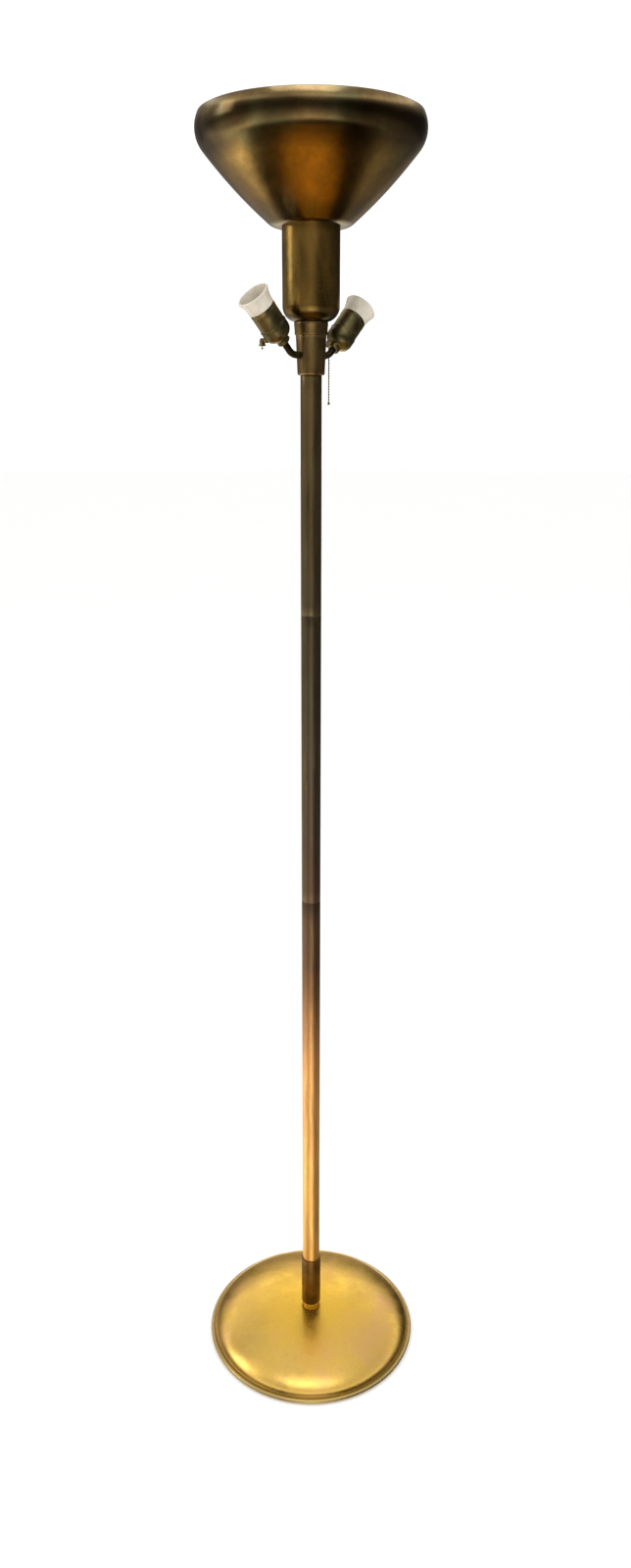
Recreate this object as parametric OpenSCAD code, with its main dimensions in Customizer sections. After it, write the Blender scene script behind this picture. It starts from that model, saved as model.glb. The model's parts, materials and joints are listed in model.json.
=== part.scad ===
// Torchiere floor lamp: a spun brass uplight bowl over a mogul socket, two pull-chain
// side sockets on bent arms, a slim three-piece column and a weighted round base.
// Millimetres, +Z up. The origin is on the floor, on the column's axis.

/* [Base] */
// Outer radius of the base cover's beaded rim
base_r = 155; // [150:0.5:160]
// Height of the base cover's crown above the floor
base_h = 40.5; // [38:0.5:48]
// Thickness of the felt pad
felt_t = 2.5; // [2:0.5:3]
// Height of the sleeve at the foot of the column
sleeve_h = 81; // [40:1:120]

/* [Column] */
// Outer radius of the column tube
column_r = 12.7; // [12.5:0.1:13]
// Height of the joint between the lower and the middle tube
lower_seam_z = 720; // [600:1:800]
// Height of the joint between the middle and the upper tube
upper_seam_z = 1110; // [1000:1:1200]
// Height of the column's top, where the cluster body stands
column_top = 1392; // [1300:1:1500]

/* [Cluster] */
// Outer radius of the cluster body
cluster_r = 17.8; // [16.5:0.1:18.5]
// Height of the cluster body
cluster_h = 41; // [38:0.5:42]
// Direction of the right-hand arm, turned from +X about the column
arm_turn = 39; // [0:1:90]

/* [Husk] */
// Outer radius of the husk that hides the main socket
husk_r = 33.2; // [33:0.1:36]
// Height of the husk
husk_h = 99.3; // [98:0.1:104]
// Radius of the husk's rounded bottom edge
husk_corner = 17; // [12:0.5:18]

/* [Bowl] */
// Radius of the bowl's flat bottom
bowl_flat_r = 38; // [37:0.5:42]
// Thickness of the spun bowl
bowl_t = 1; // [0.8:0.1:1.4]

/* [Side sockets] */
// Distance from the column's axis to the end of the left-hand socket's cap
left_reach = 39.5; // [32:0.5:50]
// Distance from the column's axis to the end of the right-hand socket's cap
right_reach = 32.5; // [32:0.5:50]
// Height of the left-hand socket's cap above its arm's root
left_rise = 12.5; // [7:0.5:26]
// Height of the right-hand socket's cap above its arm's root
right_rise = 7; // [7:0.5:26]
// Lean of a side socket away from the vertical
socket_lean = 42; // [35:1:50]
// Outer radius of a side socket's brass shell
shell_r = 15.65; // [15.6:0.05:15.8]

/* [Pull chain] */
// Diameter of one bead
bead_d = 2.4; // [2:0.1:2.6]
// Distance from bead to bead
bead_pitch = 3; // [2.8:0.1:3.4]
// Number of beads that hang below the outlet on the right
hanging_beads = 22; // [6:1:60]

/* [Hidden] */
$fn = 96;

sheet = 0.9;                                // thickness of spun brass

// threaded lamp pipe, one eighth inch iron pipe size
pipe_r = 5.1;
pipe_bore = 3.5;
nut_flat = 17.5;                            // across the flats of a pipe locknut
nut_h = 5;

// base
rim_gap = 1;                                // the rim stands this far above the floor
bead_r = 2.5;                               // radius of the rolled rim bead
dome_a = base_r - 6;                        // half-width of the domed cover
dome_z = rim_gap + 4.5;                     // height of the dome's widest line
dome_b = base_h - dome_z;
dome_t = 1.2;
land_r = 16;                                // flat land at the crown
land_z = dome_height(land_r, 0);
weight_r = 139;
recess_r = 22;                              // recess under the weight for the locknut
recess_z = felt_t + 9;
washer_t = 1.8;
slot_w = 12;                                // cord slot under the weight
bushing_y = dome_a - 3;
bushing_z = dome_height(bushing_y, 0);
bushing_tilt = 41;                          // the bushing stands square to the dome's flank
bushing_bore = 3.6;

// column
tube_t = 1;
tube_bore = column_r - tube_t;
ring_z = land_z;                            // seating ring
sleeve_z = ring_z + 5.7;                    // foot of the column tube and its sleeve
sleeve_t = 1.5;

// cluster
cluster_z = column_top;
cluster_top = cluster_z + cluster_h;
root_z = cluster_z + 22;                    // height of the arms' roots
cluster_foot = 16.1;                        // outer radius at the cluster body's foot
cap_h = 3;
cap_r = cluster_r + 0.2;
cap_top = cluster_top + cap_h;
arm_r = 4;
arm_bore = 2.8;
arm_start = 11;
arm_bend_r = 15;
turn = 90 - socket_lean;                    // angle through which an arm bends upward
arm_tail = 7;                               // length of arm inside the socket cap's hub
neck_h = 14;

// husk and main socket
husk_z = cap_top + neck_h;
husk_top = husk_z + husk_h;
bracket_z = husk_z + sheet + nut_h;
bracket_h = 9;
porcelain_z = bracket_z + bracket_h;
porcelain_top = husk_top - 6.3;
porcelain_r = 26;
mount_screw_y = 17;
mogul_r = 19.8;                             // inside radius of the mogul screw shell
mogul_floor = porcelain_z + 34;
contact_h = 6.2;                            // the thread starts above the contact in the floor

// bowl
bowl_hole_r = 27;
bowl_screw_r = 29.5;
clamp_t = 2;
bowl_path = [[16.7, 40.1], [576, 10.3], [31.3, 62.3]];  // radius and turn of each arc
lip_run = 3.6;

// side sockets, measured along the socket's own axis from the end of its cap
hub_r = 7.4;
cap_bulge_z = 17;
cap_bulge_r = 11;
cap_rim_r = 16.2;
block_z = 9.2;
block_top = 26;
edison_r = 13.2;                            // inside radius of the medium screw shell
shell_top = 48;
outlet_z = 14;
outlet_reach = 21;
left_outlet = -47.5;                        // turn of each chain outlet about its socket
right_outlet = 81;
bell_h = 8.5;
bell_up = 4;
drum_r = 5;
drum_w = 4;
drum_z = 16.5;
axle_r = 1;

left_turn = arm_turn + 180;
right_turn = arm_turn;

// ---------- shared shapes ----------

function dome_height(r, inset) =
    dome_z + (dome_b - inset) * sqrt(1 - pow(r / (dome_a - inset), 2));

function arc(cx, cy, r, a0, a1, n) =
    [for (i = [0:n]) let (a = a0 + (a1 - a0) * i / n) [cx + r * cos(a), cy + r * sin(a)]];

function back(points) = [for (i = [len(points) - 1:-1:0]) points[i]];

module lathe(points) rotate_extrude() polygon(points);

module ring(outer, inner, z0, z1) {
    rotate_extrude() translate([inner, z0]) square([outer - inner, z1 - z0]);
}

module hex_nut(flat, bore, h) {
    difference() {
        cylinder(r = flat / 2 / cos(30), h = h, $fn = 6);
        translate([0, 0, -1]) cylinder(r = bore, h = h + 2);
    }
}

module pipe_nut(z) translate([0, 0, z]) hex_nut(nut_flat, pipe_r, nut_h);

// ---------- base ----------

module base_felt() color("darkolivegreen") cylinder(r = base_r - 9, h = felt_t);

module base_weight() {
    top = dome_z + 17.5;
    color("dimgray") difference() {
        lathe([[pipe_r, recess_z], [recess_r, recess_z], [recess_r, felt_t], [weight_r, felt_t],
               [weight_r, felt_t + 10.5], [weight_r - 21, top], [30, top],
               [land_r - 1, land_z - dome_t], [pipe_r, land_z - dome_t]]);
        translate([-slot_w / 2, recess_r - 4, felt_t - 1]) cube([slot_w, weight_r, 8.5]);
        translate([-slot_w / 2 - 2, weight_r - 13, felt_t - 1]) cube([slot_w + 4, 20, 30]);
    }
}

// The dome's outline runs from the crown's land down to the flank, as part of an ellipse.
function dome_line(inset, n) =
    let (a = dome_a - inset, b = dome_b - inset, start = acos(land_r / a))
    [for (i = [0:n]) let (q = start * (1 - i / n)) [a * cos(q), dome_z + b * sin(q)]];

module base_shell() {
    bead = arc(base_r - bead_r, rim_gap + bead_r, bead_r, 140, -90, 16);
    color("goldenrod") difference() {
        lathe(concat([[pipe_r, land_z]], dome_line(0, 30),
                     [[dome_a + 0.3, dome_z - 0.9], [dome_a + 1.2, dome_z - 1.1]], bead,
                     [[dome_a - dome_t, rim_gap]], back(dome_line(dome_t, 30)),
                     [[pipe_r, land_z - dome_t]]));
        at_bushing() translate([0, 0, -8]) cylinder(r = 5, h = 16);
    }
}

module at_bushing() {
    translate([0, bushing_y, bushing_z]) rotate([bushing_tilt - 90, 0, 0]) children();
}

module cord_bushing() {
    color("saddlebrown") at_bushing() difference() {
        union() {
            translate([0, 0, -6]) cylinder(r = 5, h = 7);
            translate([0, 0, 0.9]) cylinder(r1 = 7.4, r2 = 6.2, h = 2.4);
        }
        translate([0, 0, -10]) cylinder(r = bushing_bore, h = 20);
    }
}

module base_locknut() color("silver") pipe_nut(recess_z - washer_t - nut_h);

module base_washer() color("silver") ring(16, pipe_r, recess_z - washer_t, recess_z);

// ---------- column ----------

module seating_ring() {
    color("gold") lathe([[pipe_r, ring_z], [11.6, ring_z], [12.4, ring_z + 1], [12.4, sleeve_z],
                         [tube_bore, sleeve_z], [tube_bore, sleeve_z + 8], [pipe_r, sleeve_z + 8]]);
}

module foot_sleeve() {
    top = sleeve_z + sleeve_h;
    outer = column_r + sleeve_t;
    color("saddlebrown") lathe([[column_r, sleeve_z], [outer - 1.2, sleeve_z],
                                [outer, sleeve_z + 1.6], [outer, top - 0.8], [outer - 0.5, top],
                                [column_r, top]]);
}

module center_pipe() color("silver") ring(pipe_r, pipe_bore, felt_t + 1.1, cluster_z + 10);

// A column tube has a small bevel at each end, which shows as a fine line at the joint.
module column_tube(z0, z1) {
    bevel = 0.35;
    lathe([[tube_bore, z0], [column_r - bevel, z0], [column_r, z0 + bevel],
           [column_r, z1 - bevel], [column_r - bevel, z1], [tube_bore, z1]]);
}

module lower_tube() color("peru") column_tube(sleeve_z, lower_seam_z);

module middle_tube() color("dimgray") column_tube(lower_seam_z, upper_seam_z);

module upper_tube() color("darkkhaki") column_tube(upper_seam_z, column_top);

module coupling(z) {
    ring(tube_bore, tube_bore - 1.3, z - 20, z + 20);
    ring(tube_bore - 1, pipe_r, z - 3, z + 3);
}

module lower_coupling() color("tan") coupling(lower_seam_z);

module upper_coupling() color("tan") coupling(upper_seam_z);

// Two insulated wires in the pipe, and two more from the cluster up to the main socket.
module leads() {
    wire_r = 1.2;
    color("black") for (x = [-1.5, 1.5]) {
        translate([x, 0, felt_t + 2]) cylinder(r = wire_r, h = cluster_z + 9 - felt_t);
        translate([x, 0, cluster_z + 13]) cylinder(r = wire_r, h = porcelain_z + 9 - cluster_z - 13);
    }
}

// ---------- cluster ----------

module cluster_body() {
    wall = 1.4;
    foot = cluster_foot;
    color("sienna") difference() {
        lathe([[pipe_r, cluster_z], [foot - 1, cluster_z], [foot, cluster_z + 1.5],
               [cluster_r, cluster_top], [cluster_r - wall, cluster_top],
               [foot - wall, cluster_z + 2], [pipe_r, cluster_z + 2]]);
        for (a = [left_turn, right_turn])
            rotate([0, 0, a]) translate([9, 0, root_z]) rotate([0, 90, 0]) cylinder(r = arm_r, h = 10);
    }
}

module cluster_cap() {
    spigot = cluster_r - 1.65;
    color("sienna") lathe([[cluster_r - 3, cluster_top - 3.4], [spigot, cluster_top - 3.4],
                           [spigot, cluster_top], [cap_r, cluster_top], [cap_r, cap_top - 0.6],
                           [cap_r - 0.6, cap_top], [pipe_r, cap_top], [pipe_r, cap_top - 2],
                           [cluster_r - 3, cap_top - 2]]);
}

module cluster_locknut() color("silver") pipe_nut(cluster_z + 2);

module cap_locknut() color("silver") pipe_nut(cap_top - 2 - nut_h);

module cluster_nipple() color("silver") ring(pipe_r, pipe_bore, cap_top - 14, porcelain_z - 1);

module neck_collar() {
    foot = 19;
    head = 20;
    wall = 1.3;
    seat = 16.5;                            // the foot is turned in to stand on the cap
    color("peru") lathe([[seat, cap_top], [foot, cap_top], [foot + 0.1, cap_top + 1],
                         [head, husk_z - 1], [head - 0.3, husk_z], [pipe_r, husk_z],
                         [pipe_r, husk_z - 1.5], [head - wall - 0.1, husk_z - 1.5],
                         [foot - wall, cap_top + wall], [seat, cap_top + wall]]);
}

// An arm leaves the cluster level, bends upward and runs on along the socket's axis. Each
// station along it is [distance from the column's axis, height, heading above the level].
function arm_stations(steps, reach, rise) =
    let (end_run = (rise - arm_bend_r * (1 - cos(turn))) / sin(turn),
         bend_start = reach - arm_bend_r * sin(turn) - end_run * cos(turn))
    concat([[arm_start, root_z, 0]],
    [for (i = [0:steps]) let (h = turn * i / steps)
        [bend_start + arm_bend_r * sin(h), root_z + arm_bend_r * (1 - cos(h)), h]],
    [[reach + arm_tail * cos(turn), root_z + rise + arm_tail * sin(turn), turn]]);

function station_ring(s, r, sides) =
    [for (k = [0:sides - 1]) let (q = 360 * k / sides)
        [s[0] - r * cos(q) * sin(s[2]), r * sin(q), s[1] + r * cos(q) * cos(s[2])]];

module arm(reach, rise) {
    sides = 24;
    stations = arm_stations(9, reach, rise);
    last = len(stations) - 1;
    outer = [for (s = stations) each station_ring(s, arm_r, sides)];
    inner = [for (s = stations) each station_ring(s, arm_bore, sides)];
    bore = len(outer);
    walls = [for (i = [0:last - 1], k = [0:sides - 1])
        let (a = i * sides + k, b = i * sides + (k + 1) % sides)
        each [[a, b, b + sides, a + sides], [bore + a, bore + a + sides, bore + b + sides, bore + b]]];
    ends = [for (k = [0:sides - 1]) let (n = (k + 1) % sides, top = last * sides)
        each [[k, bore + k, bore + n, n], [top + k, top + n, bore + top + n, bore + top + k]]];
    polyhedron(concat(outer, inner), concat(walls, ends));
}

module left_arm() color("darkslategray") rotate([0, 0, left_turn]) arm(left_reach, left_rise);

module right_arm() color("darkslategray") rotate([0, 0, right_turn]) arm(right_reach, right_rise);

module arm_locknuts() {
    color("silver") for (a = [left_turn, right_turn])
        rotate([0, 0, a]) translate([11.2, 0, root_z]) rotate([0, 90, 0]) hex_nut(11, arm_r, 2.4);
}

// ---------- husk and main socket ----------

module husk() {
    inner_r = husk_r - sheet;
    outer = arc(husk_r - husk_corner, husk_z + husk_corner, husk_corner, -90, 0, 14);
    inner = arc(husk_r - husk_corner, husk_z + husk_corner, husk_corner - sheet, -90, 0, 14);
    color("darkgoldenrod") lathe(concat([[pipe_r, husk_z]], outer, [[husk_r, husk_top],
                                        [inner_r, husk_top]], back(inner),
                                        [[pipe_r, husk_z + sheet]]));
}

module husk_locknut() color("silver") pipe_nut(husk_z + sheet);

module mogul_bracket() {
    strap_w = 18;
    strap_t = 3;
    color("gold") difference() {
        union() {
            translate([0, 0, bracket_z]) cylinder(r = 8.5, h = bracket_h);
            translate([-strap_w / 2, -23, porcelain_z - strap_t]) cube([strap_w, 46, strap_t]);
        }
        translate([0, 0, bracket_z - 1]) cylinder(r = pipe_r, h = bracket_h + 2);
        at_mount_screws(porcelain_z - 10) cylinder(r = 1.7, h = 20);
    }
}

module at_mount_screws(z) {
    for (y = [-mount_screw_y, mount_screw_y]) translate([0, y, z]) children();
}

module mogul_mount_screws() {
    color("silver") at_mount_screws(porcelain_z - 5.4) {
        cylinder(r = 3.4, h = 2.4);
        cylinder(r = 1.7, h = 13);
    }
}

module mogul_porcelain() {
    color("whitesmoke") difference() {
        lathe([[12, porcelain_z], [porcelain_r - 1, porcelain_z], [porcelain_r, porcelain_z + 1],
               [porcelain_r, porcelain_top - 1], [porcelain_r - 1, porcelain_top],
               [mogul_r + 0.8, porcelain_top], [mogul_r + 0.8, mogul_floor], [0, mogul_floor],
               [0, porcelain_z + 11], [12, porcelain_z + 11]]);
        at_mount_screws(porcelain_z - 1) cylinder(r = 1.7, h = 12);
        translate([0, 0, porcelain_z]) cylinder(r = 2, h = 40);
        for (side = [-1, 1]) {
            translate([side * 24 - 3, -7, porcelain_z + 13]) cube([6, 14, 15]);
            at_terminal(side) cylinder(r = 1.6, h = 20);
        }
    }
}

module at_terminal(side) {
    translate([side * 13, 0, porcelain_z + 20]) rotate([0, side * 90, 0]) children();
}

module mogul_terminal_screws() {
    color("gold") for (side = [-1, 1]) at_terminal(side) {
        cylinder(r = 1.6, h = 9);
        translate([0, 0, 8]) cylinder(r = 3.2, h = 2.2);
    }
}

module mogul_screw_shell() {
    outer = mogul_r + 0.8;
    color("gold") lathe([[9, mogul_floor], [outer, mogul_floor], [outer, porcelain_top - 2],
                         [mogul_r, porcelain_top - 2], [mogul_r, mogul_floor + contact_h],
                         [mogul_r - 1, mogul_floor + 0.8], [9, mogul_floor + 0.8]]);
}

module mogul_center_contact() {
    color("gold") {
        translate([0, 0, porcelain_z + 14]) cylinder(r = 2, h = 21);
        translate([0, 0, mogul_floor]) cylinder(r = 6, h = 0.8);
        translate([0, 0, mogul_floor]) cylinder(r1 = 5, r2 = 3, h = contact_h - 0.3);
    }
}

// ---------- bowl ----------

// Walks along a smooth line made of arcs: each arc is [radius, turn], and heading is the
// direction at its start. The last point of each arc is the next one's first.
function arc_points(p, heading, r, turn, n) =
    let (c = [p[0] - r * sin(heading), p[1] + r * cos(heading)])
    [for (i = [1:n]) let (a = heading + turn * i / n) [c[0] + r * sin(a), c[1] - r * cos(a)]];

function walk(p, heading, arcs, inset, i = 0) =
    i == len(arcs) ? [p + lip_run * [cos(heading), sin(heading)]]
    : let (n = i == 1 ? 6 : 10,
           points = arc_points(p, heading, arcs[i][0] - inset, arcs[i][1], n))
      concat(points, walk(points[n - 1], heading + arcs[i][1], arcs, inset, i + 1));

module bowl() {
    outer = walk([bowl_flat_r, husk_top], 0, bowl_path, 0);
    inner = walk([bowl_flat_r, husk_top + bowl_t], 0, bowl_path, bowl_t);
    color("darkgoldenrod") difference() {
        lathe(concat([[bowl_hole_r, husk_top], [bowl_flat_r, husk_top]], outer, back(inner),
                     [[bowl_flat_r, husk_top + bowl_t], [bowl_hole_r, husk_top + bowl_t]]));
        at_bowl_screws(husk_top - 1) cylinder(r = 1.6, h = 4);
    }
}

module at_bowl_screws(z) {
    for (a = [30:120:270]) rotate([0, 0, a]) translate([bowl_screw_r, 0, z]) children();
}

module bowl_fitter_ring() {
    outer = husk_r - sheet;
    color("tan") difference() {
        lathe([[bowl_hole_r, husk_top - 4], [outer - 1, husk_top - 4], [outer - 1, husk_top - 14],
               [outer, husk_top - 14], [outer, husk_top], [bowl_hole_r, husk_top]]);
        at_bowl_screws(husk_top - 5) cylinder(r = 1.6, h = 6);
    }
}

module bowl_clamp_ring() {
    z = husk_top + bowl_t;
    color("tan") difference() {
        ring(36, bowl_hole_r, z, z + clamp_t);
        at_bowl_screws(z - 1) cylinder(r = 1.6, h = 5);
    }
}

module bowl_screws() {
    head_z = husk_top + bowl_t + clamp_t;
    color("silver") at_bowl_screws(0) {
        translate([0, 0, husk_top - 6]) cylinder(r = 1.6, h = 10);
        translate([0, 0, head_z]) cylinder(r1 = 3.1, r2 = 1.9, h = 2.2);
    }
}

// ---------- side sockets ----------

// Puts a piece, drawn along +Z from the end of the cap, on the end of an arm.
module on_arm(a) {
    reach = a == left_turn ? left_reach : right_reach;
    rise = a == left_turn ? left_rise : right_rise;
    rotate([0, 0, a]) translate([reach, 0, root_z + rise])
        rotate([0, socket_lean, 0]) children();
}

module socket_cap(outlet) {
    wall = 0.8;
    bulge = arc(cap_rim_r - cap_bulge_r, cap_bulge_z, cap_bulge_r, -68, 0, 10);
    hollow = arc(cap_rim_r - cap_bulge_r, cap_bulge_z, cap_bulge_r - wall, -62, 0, 10);
    difference() {
        lathe(concat([[arm_r, 0], [hub_r - 0.8, 0], [hub_r, 0.8], [hub_r, 5.6]], bulge,
                     [[cap_rim_r, 23.4], [cap_rim_r + 0.3, 23.7], [cap_rim_r + 0.3, 24.4],
                      [shell_r + 0.04, 24.4], [shell_r + 0.04, 19]], [[cap_rim_r - wall, 19]], back(hollow),
                     [[arm_r, hollow[0][1]]]));
        toward_outlet(outlet) cylinder(r = 3, h = 10);
        rotate([0, 0, outlet + 180]) translate([arm_r - 1, 0, 3.2]) rotate([0, 90, 0])
            cylinder(r = 1.2, h = 8);
    }
}

// The outlet's tube points straight out of the socket, from inside the cap.
module toward_outlet(outlet) {
    rotate([0, 0, outlet]) translate([13, 0, outlet_z]) rotate([0, 90, 0]) children();
}

// The outlet's bell hangs plumb at the end of its tube.
module at_bell(outlet) {
    translate([outlet_reach * cos(outlet), outlet_reach * sin(outlet), outlet_z])
        rotate([0, -socket_lean, 0]) children();
}

module chain_outlet(outlet) {
    bottom = bell_up - bell_h;
    difference() {
        union() {
            toward_outlet(outlet) cylinder(r = 3, h = outlet_reach - 13);
            at_bell(outlet) lathe([[0, bottom], [4.2, bottom], [4.2, bottom + 0.7], [3.3, bottom + 2.6],
                                   [3.1, bell_up - 0.9], [2.2, bell_up], [0, bell_up]]);
        }
        toward_outlet(outlet) translate([0, 0, -1]) cylinder(r = 1.8, h = outlet_reach - 12);
        at_bell(outlet) lathe([[0, bottom - 1], [3.5, bottom - 1], [3.5, bottom + 0.4],
                               [1.9, bottom + 2.8], [1.9, bell_up - 0.8], [0, bell_up - 0.8]]);
    }
}

module set_screw(outlet) {
    rotate([0, 0, outlet + 180]) translate([arm_r, 0, 3.2]) rotate([0, 90, 0]) {
        cylinder(r = 1.2, h = 4);
        translate([0, 0, hub_r - arm_r]) cylinder(r1 = 2.1, r2 = 1.6, h = 1.5);
    }
}

module socket_shell() {
    wall = 0.6;
    lathe([[shell_r - wall, 19], [shell_r, 19], [shell_r, 43], [shell_r + 0.25, 43.5],
           [shell_r + 0.25, 44.5], [shell_r, 45], [shell_r, shell_top],
           [shell_r - wall, shell_top]]);
}

module socket_liner() ring(14.95, 14.45, 19.5, 47.5);

module at_drum(outlet) {
    rotate([0, 0, outlet]) translate([0, 0, drum_z]) rotate([90, 0, 0]) children();
}

module switch_block(outlet) {
    difference() {
        lathe([[0, block_z], [9, block_z], [12.7, 13], [12.7, 17.6], [14.2, 19.5], [14.2, block_top],
               [0, block_top]]);
        at_drum(outlet) {
            translate([0, 0, -drum_w / 2 - 0.4]) cylinder(r = drum_r + 0.5, h = drum_w + 0.8);
            translate([0, 0, -7]) cylinder(r = axle_r + 0.05, h = 14);
        }
        rotate([0, 0, outlet]) translate([0, -1.6, outlet_z - 1.6]) cube([20, 3.2, 3.2]);
    }
}

// The ratchet drum winds the chain: six teeth round its rim and an axle through it.
module drum(outlet) {
    at_drum(outlet) {
        difference() {
            translate([0, 0, -drum_w / 2]) cylinder(r = drum_r, h = drum_w);
            for (i = [0:5]) rotate([0, 0, 60 * i]) translate([drum_r - 0.9, 0, -drum_w / 2 - 1])
                cube([2, 1.4, drum_w + 2]);
        }
        translate([0, 0, -6.5]) cylinder(r = axle_r, h = 13);
    }
}

module edison_shell() {
    wall = 0.4;
    lathe([[8, block_top], [edison_r + wall, block_top], [edison_r + wall, shell_top],
           [edison_r, shell_top], [edison_r, block_top + 4.2], [edison_r - 0.8, block_top + 0.5],
           [8, block_top + 0.5]]);
}

module contact() {
    translate([0, 0, block_top]) cylinder(r = 5, h = 0.6);
    translate([0, 0, block_top]) cylinder(r1 = 4, r2 = 2.4, h = 4);
}

module porcelain_collar() {
    lip = arc(17.9, 64.7, 1.3, -20, 160, 8);
    lathe(concat([[edison_r + 0.45, 43.5], [14.4, 43.5], [14.4, shell_top], [15.7, shell_top],
                  [15.9, 49], [15.9, 52], [16.5, 56.5], [17.7, 60.5]], lip,
                 [[15.4, 60], [14.4, 54], [13.9, shell_top + 1], [13.9, shell_top],
                  [edison_r + 0.45, shell_top]]));
}

module left_cap() color("darkolivegreen") on_arm(left_turn) socket_cap(left_outlet);

module left_set_screw() color("tan") on_arm(left_turn) set_screw(left_outlet);

module left_chain_outlet() color("khaki") on_arm(left_turn) chain_outlet(left_outlet);

module left_shell() color("olive") on_arm(left_turn) socket_shell();

module left_liner() color("burlywood") on_arm(left_turn) socket_liner();

module left_switch_block() color("whitesmoke") on_arm(left_turn) switch_block(left_outlet);

module left_drum() color("gray") on_arm(left_turn) drum(left_outlet);

module left_screw_shell() color("gold") on_arm(left_turn) edison_shell();

module left_contact() color("gold") on_arm(left_turn) contact();

module left_collar() color("ivory") on_arm(left_turn) porcelain_collar();

module right_cap() color("darkolivegreen") on_arm(right_turn) socket_cap(right_outlet);

module right_set_screw() color("tan") on_arm(right_turn) set_screw(right_outlet);

module right_chain_outlet() color("khaki") on_arm(right_turn) chain_outlet(right_outlet);

module right_shell() color("olive") on_arm(right_turn) socket_shell();

module right_liner() color("burlywood") on_arm(right_turn) socket_liner();

module right_switch_block() color("whitesmoke") on_arm(right_turn) switch_block(right_outlet);

module right_drum() color("gray") on_arm(right_turn) drum(right_outlet);

module right_screw_shell() color("gold") on_arm(right_turn) edison_shell();

module right_contact() color("gold") on_arm(right_turn) contact();

module right_collar() color("ivory") on_arm(right_turn) porcelain_collar();

// ---------- pull chains ----------

chain_top = 2;                              // height of the first bead above the outlet's axis
link_z = chain_top - 1.5 * bead_pitch;      // link pin between the first length and the hanging one

// Beads on a wire, from bead number first to bead number last, counted down the chain.
module beads(first, last) {
    for (i = [first:last])
        translate([0, 0, chain_top - i * bead_pitch]) sphere(d = bead_d, $fn = 24);
    translate([0, 0, chain_top - last * bead_pitch])
        cylinder(r = 0.4, h = (last - first) * bead_pitch);
}

module left_chain() color("dimgray") on_arm(left_turn) at_bell(left_outlet) beads(0, 3);

module right_chain_top() color("dimgray") on_arm(right_turn) at_bell(right_outlet) beads(0, 1);

module right_chain() {
    last = hanging_beads + 1;
    color("dimgray") on_arm(right_turn) at_bell(right_outlet) {
        beads(2, last);
        translate([0, 0, link_z]) rotate([90, 0, 0]) cylinder(r = 0.26, h = 1.6, center = true);
        translate([0, 0, link_z - 1]) cylinder(r = 0.2, h = 1);
        translate([0, 0, chain_top - last * bead_pitch - 3]) cylinder(r1 = 1.7, r2 = 1.2, h = 3);
    }
}

base_felt();
base_weight();
base_shell();
cord_bushing();
base_locknut();
base_washer();
seating_ring();
foot_sleeve();
center_pipe();
lower_tube();
middle_tube();
upper_tube();
lower_coupling();
upper_coupling();
leads();
cluster_body();
cluster_cap();
cluster_locknut();
cap_locknut();
cluster_nipple();
left_arm();
right_arm();
arm_locknuts();
neck_collar();
husk();
husk_locknut();
mogul_bracket();
mogul_mount_screws();
mogul_porcelain();
mogul_screw_shell();
mogul_center_contact();
mogul_terminal_screws();
bowl_fitter_ring();
bowl();
bowl_clamp_ring();
bowl_screws();
left_cap();
left_set_screw();
left_chain_outlet();
left_shell();
left_liner();
left_switch_block();
left_drum();
left_screw_shell();
left_contact();
left_collar();
left_chain();
right_cap();
right_set_screw();
right_chain_outlet();
right_shell();
right_liner();
right_switch_block();
right_drum();
right_screw_shell();
right_contact();
right_collar();
right_chain_top();
right_chain();
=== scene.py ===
import json
import math

import bmesh
import bpy
from mathutils import Matrix, Vector, noise


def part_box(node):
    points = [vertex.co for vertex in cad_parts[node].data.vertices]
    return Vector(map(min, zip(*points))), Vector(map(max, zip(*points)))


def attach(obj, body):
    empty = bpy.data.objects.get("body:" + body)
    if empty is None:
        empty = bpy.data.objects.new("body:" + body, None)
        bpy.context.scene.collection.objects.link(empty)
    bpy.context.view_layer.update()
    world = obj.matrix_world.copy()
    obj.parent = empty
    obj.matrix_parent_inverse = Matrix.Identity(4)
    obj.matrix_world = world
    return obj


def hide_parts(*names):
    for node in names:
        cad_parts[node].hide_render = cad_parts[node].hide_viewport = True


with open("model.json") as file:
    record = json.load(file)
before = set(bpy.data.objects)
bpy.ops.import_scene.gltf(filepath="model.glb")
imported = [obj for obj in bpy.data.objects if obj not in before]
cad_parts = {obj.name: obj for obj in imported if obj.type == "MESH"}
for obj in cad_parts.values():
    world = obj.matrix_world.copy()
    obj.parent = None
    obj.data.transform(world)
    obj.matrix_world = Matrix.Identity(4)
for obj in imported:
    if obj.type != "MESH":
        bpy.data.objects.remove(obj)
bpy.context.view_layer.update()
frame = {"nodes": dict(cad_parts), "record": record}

MM = 0.001
ROOT = "lamp"
SHARP_ANGLE = 32.0  # degrees: an edge bent by more than this stays sharp
WOBBLE = 0.15 * MM  # how far the base cover is out of round

# The camera was fitted to the photograph.
CAMERA_PLACE = (0, -1.4141, 1.3576)
CAMERA_DIP = 18.43  # degrees below level
CAMERA_LENS, CAMERA_SENSOR, CAMERA_SHIFT = 26.02, 36, 0.0028
CAMERA_FAR = 60

FLOOR_RADIUS, FLOOR_Z = 25, -0.2 * MM
WHITE_STRENGTH = 1.15

# Heights on a side socket, in mm along its axis from the end of its cap.
SHELL_START, CAP_END, SOCKET_MOUNT, SHELL_END = 19, 24.4, 39.1, 48

BEAD_R, BEAD_PITCH, WIRE_R = 1.2 * MM, 3 * MM, 0.42 * MM
BOWL_HOLE = 27 * MM

# Marks in the metal, as how often they repeat round a piece and along its outline.
SPIN_MARKS, DRAWN_MARKS, COLUMN_MARKS = (0.6, 2600, 1), (420, 3.0, 1), (160, 4.0, 1)

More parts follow.
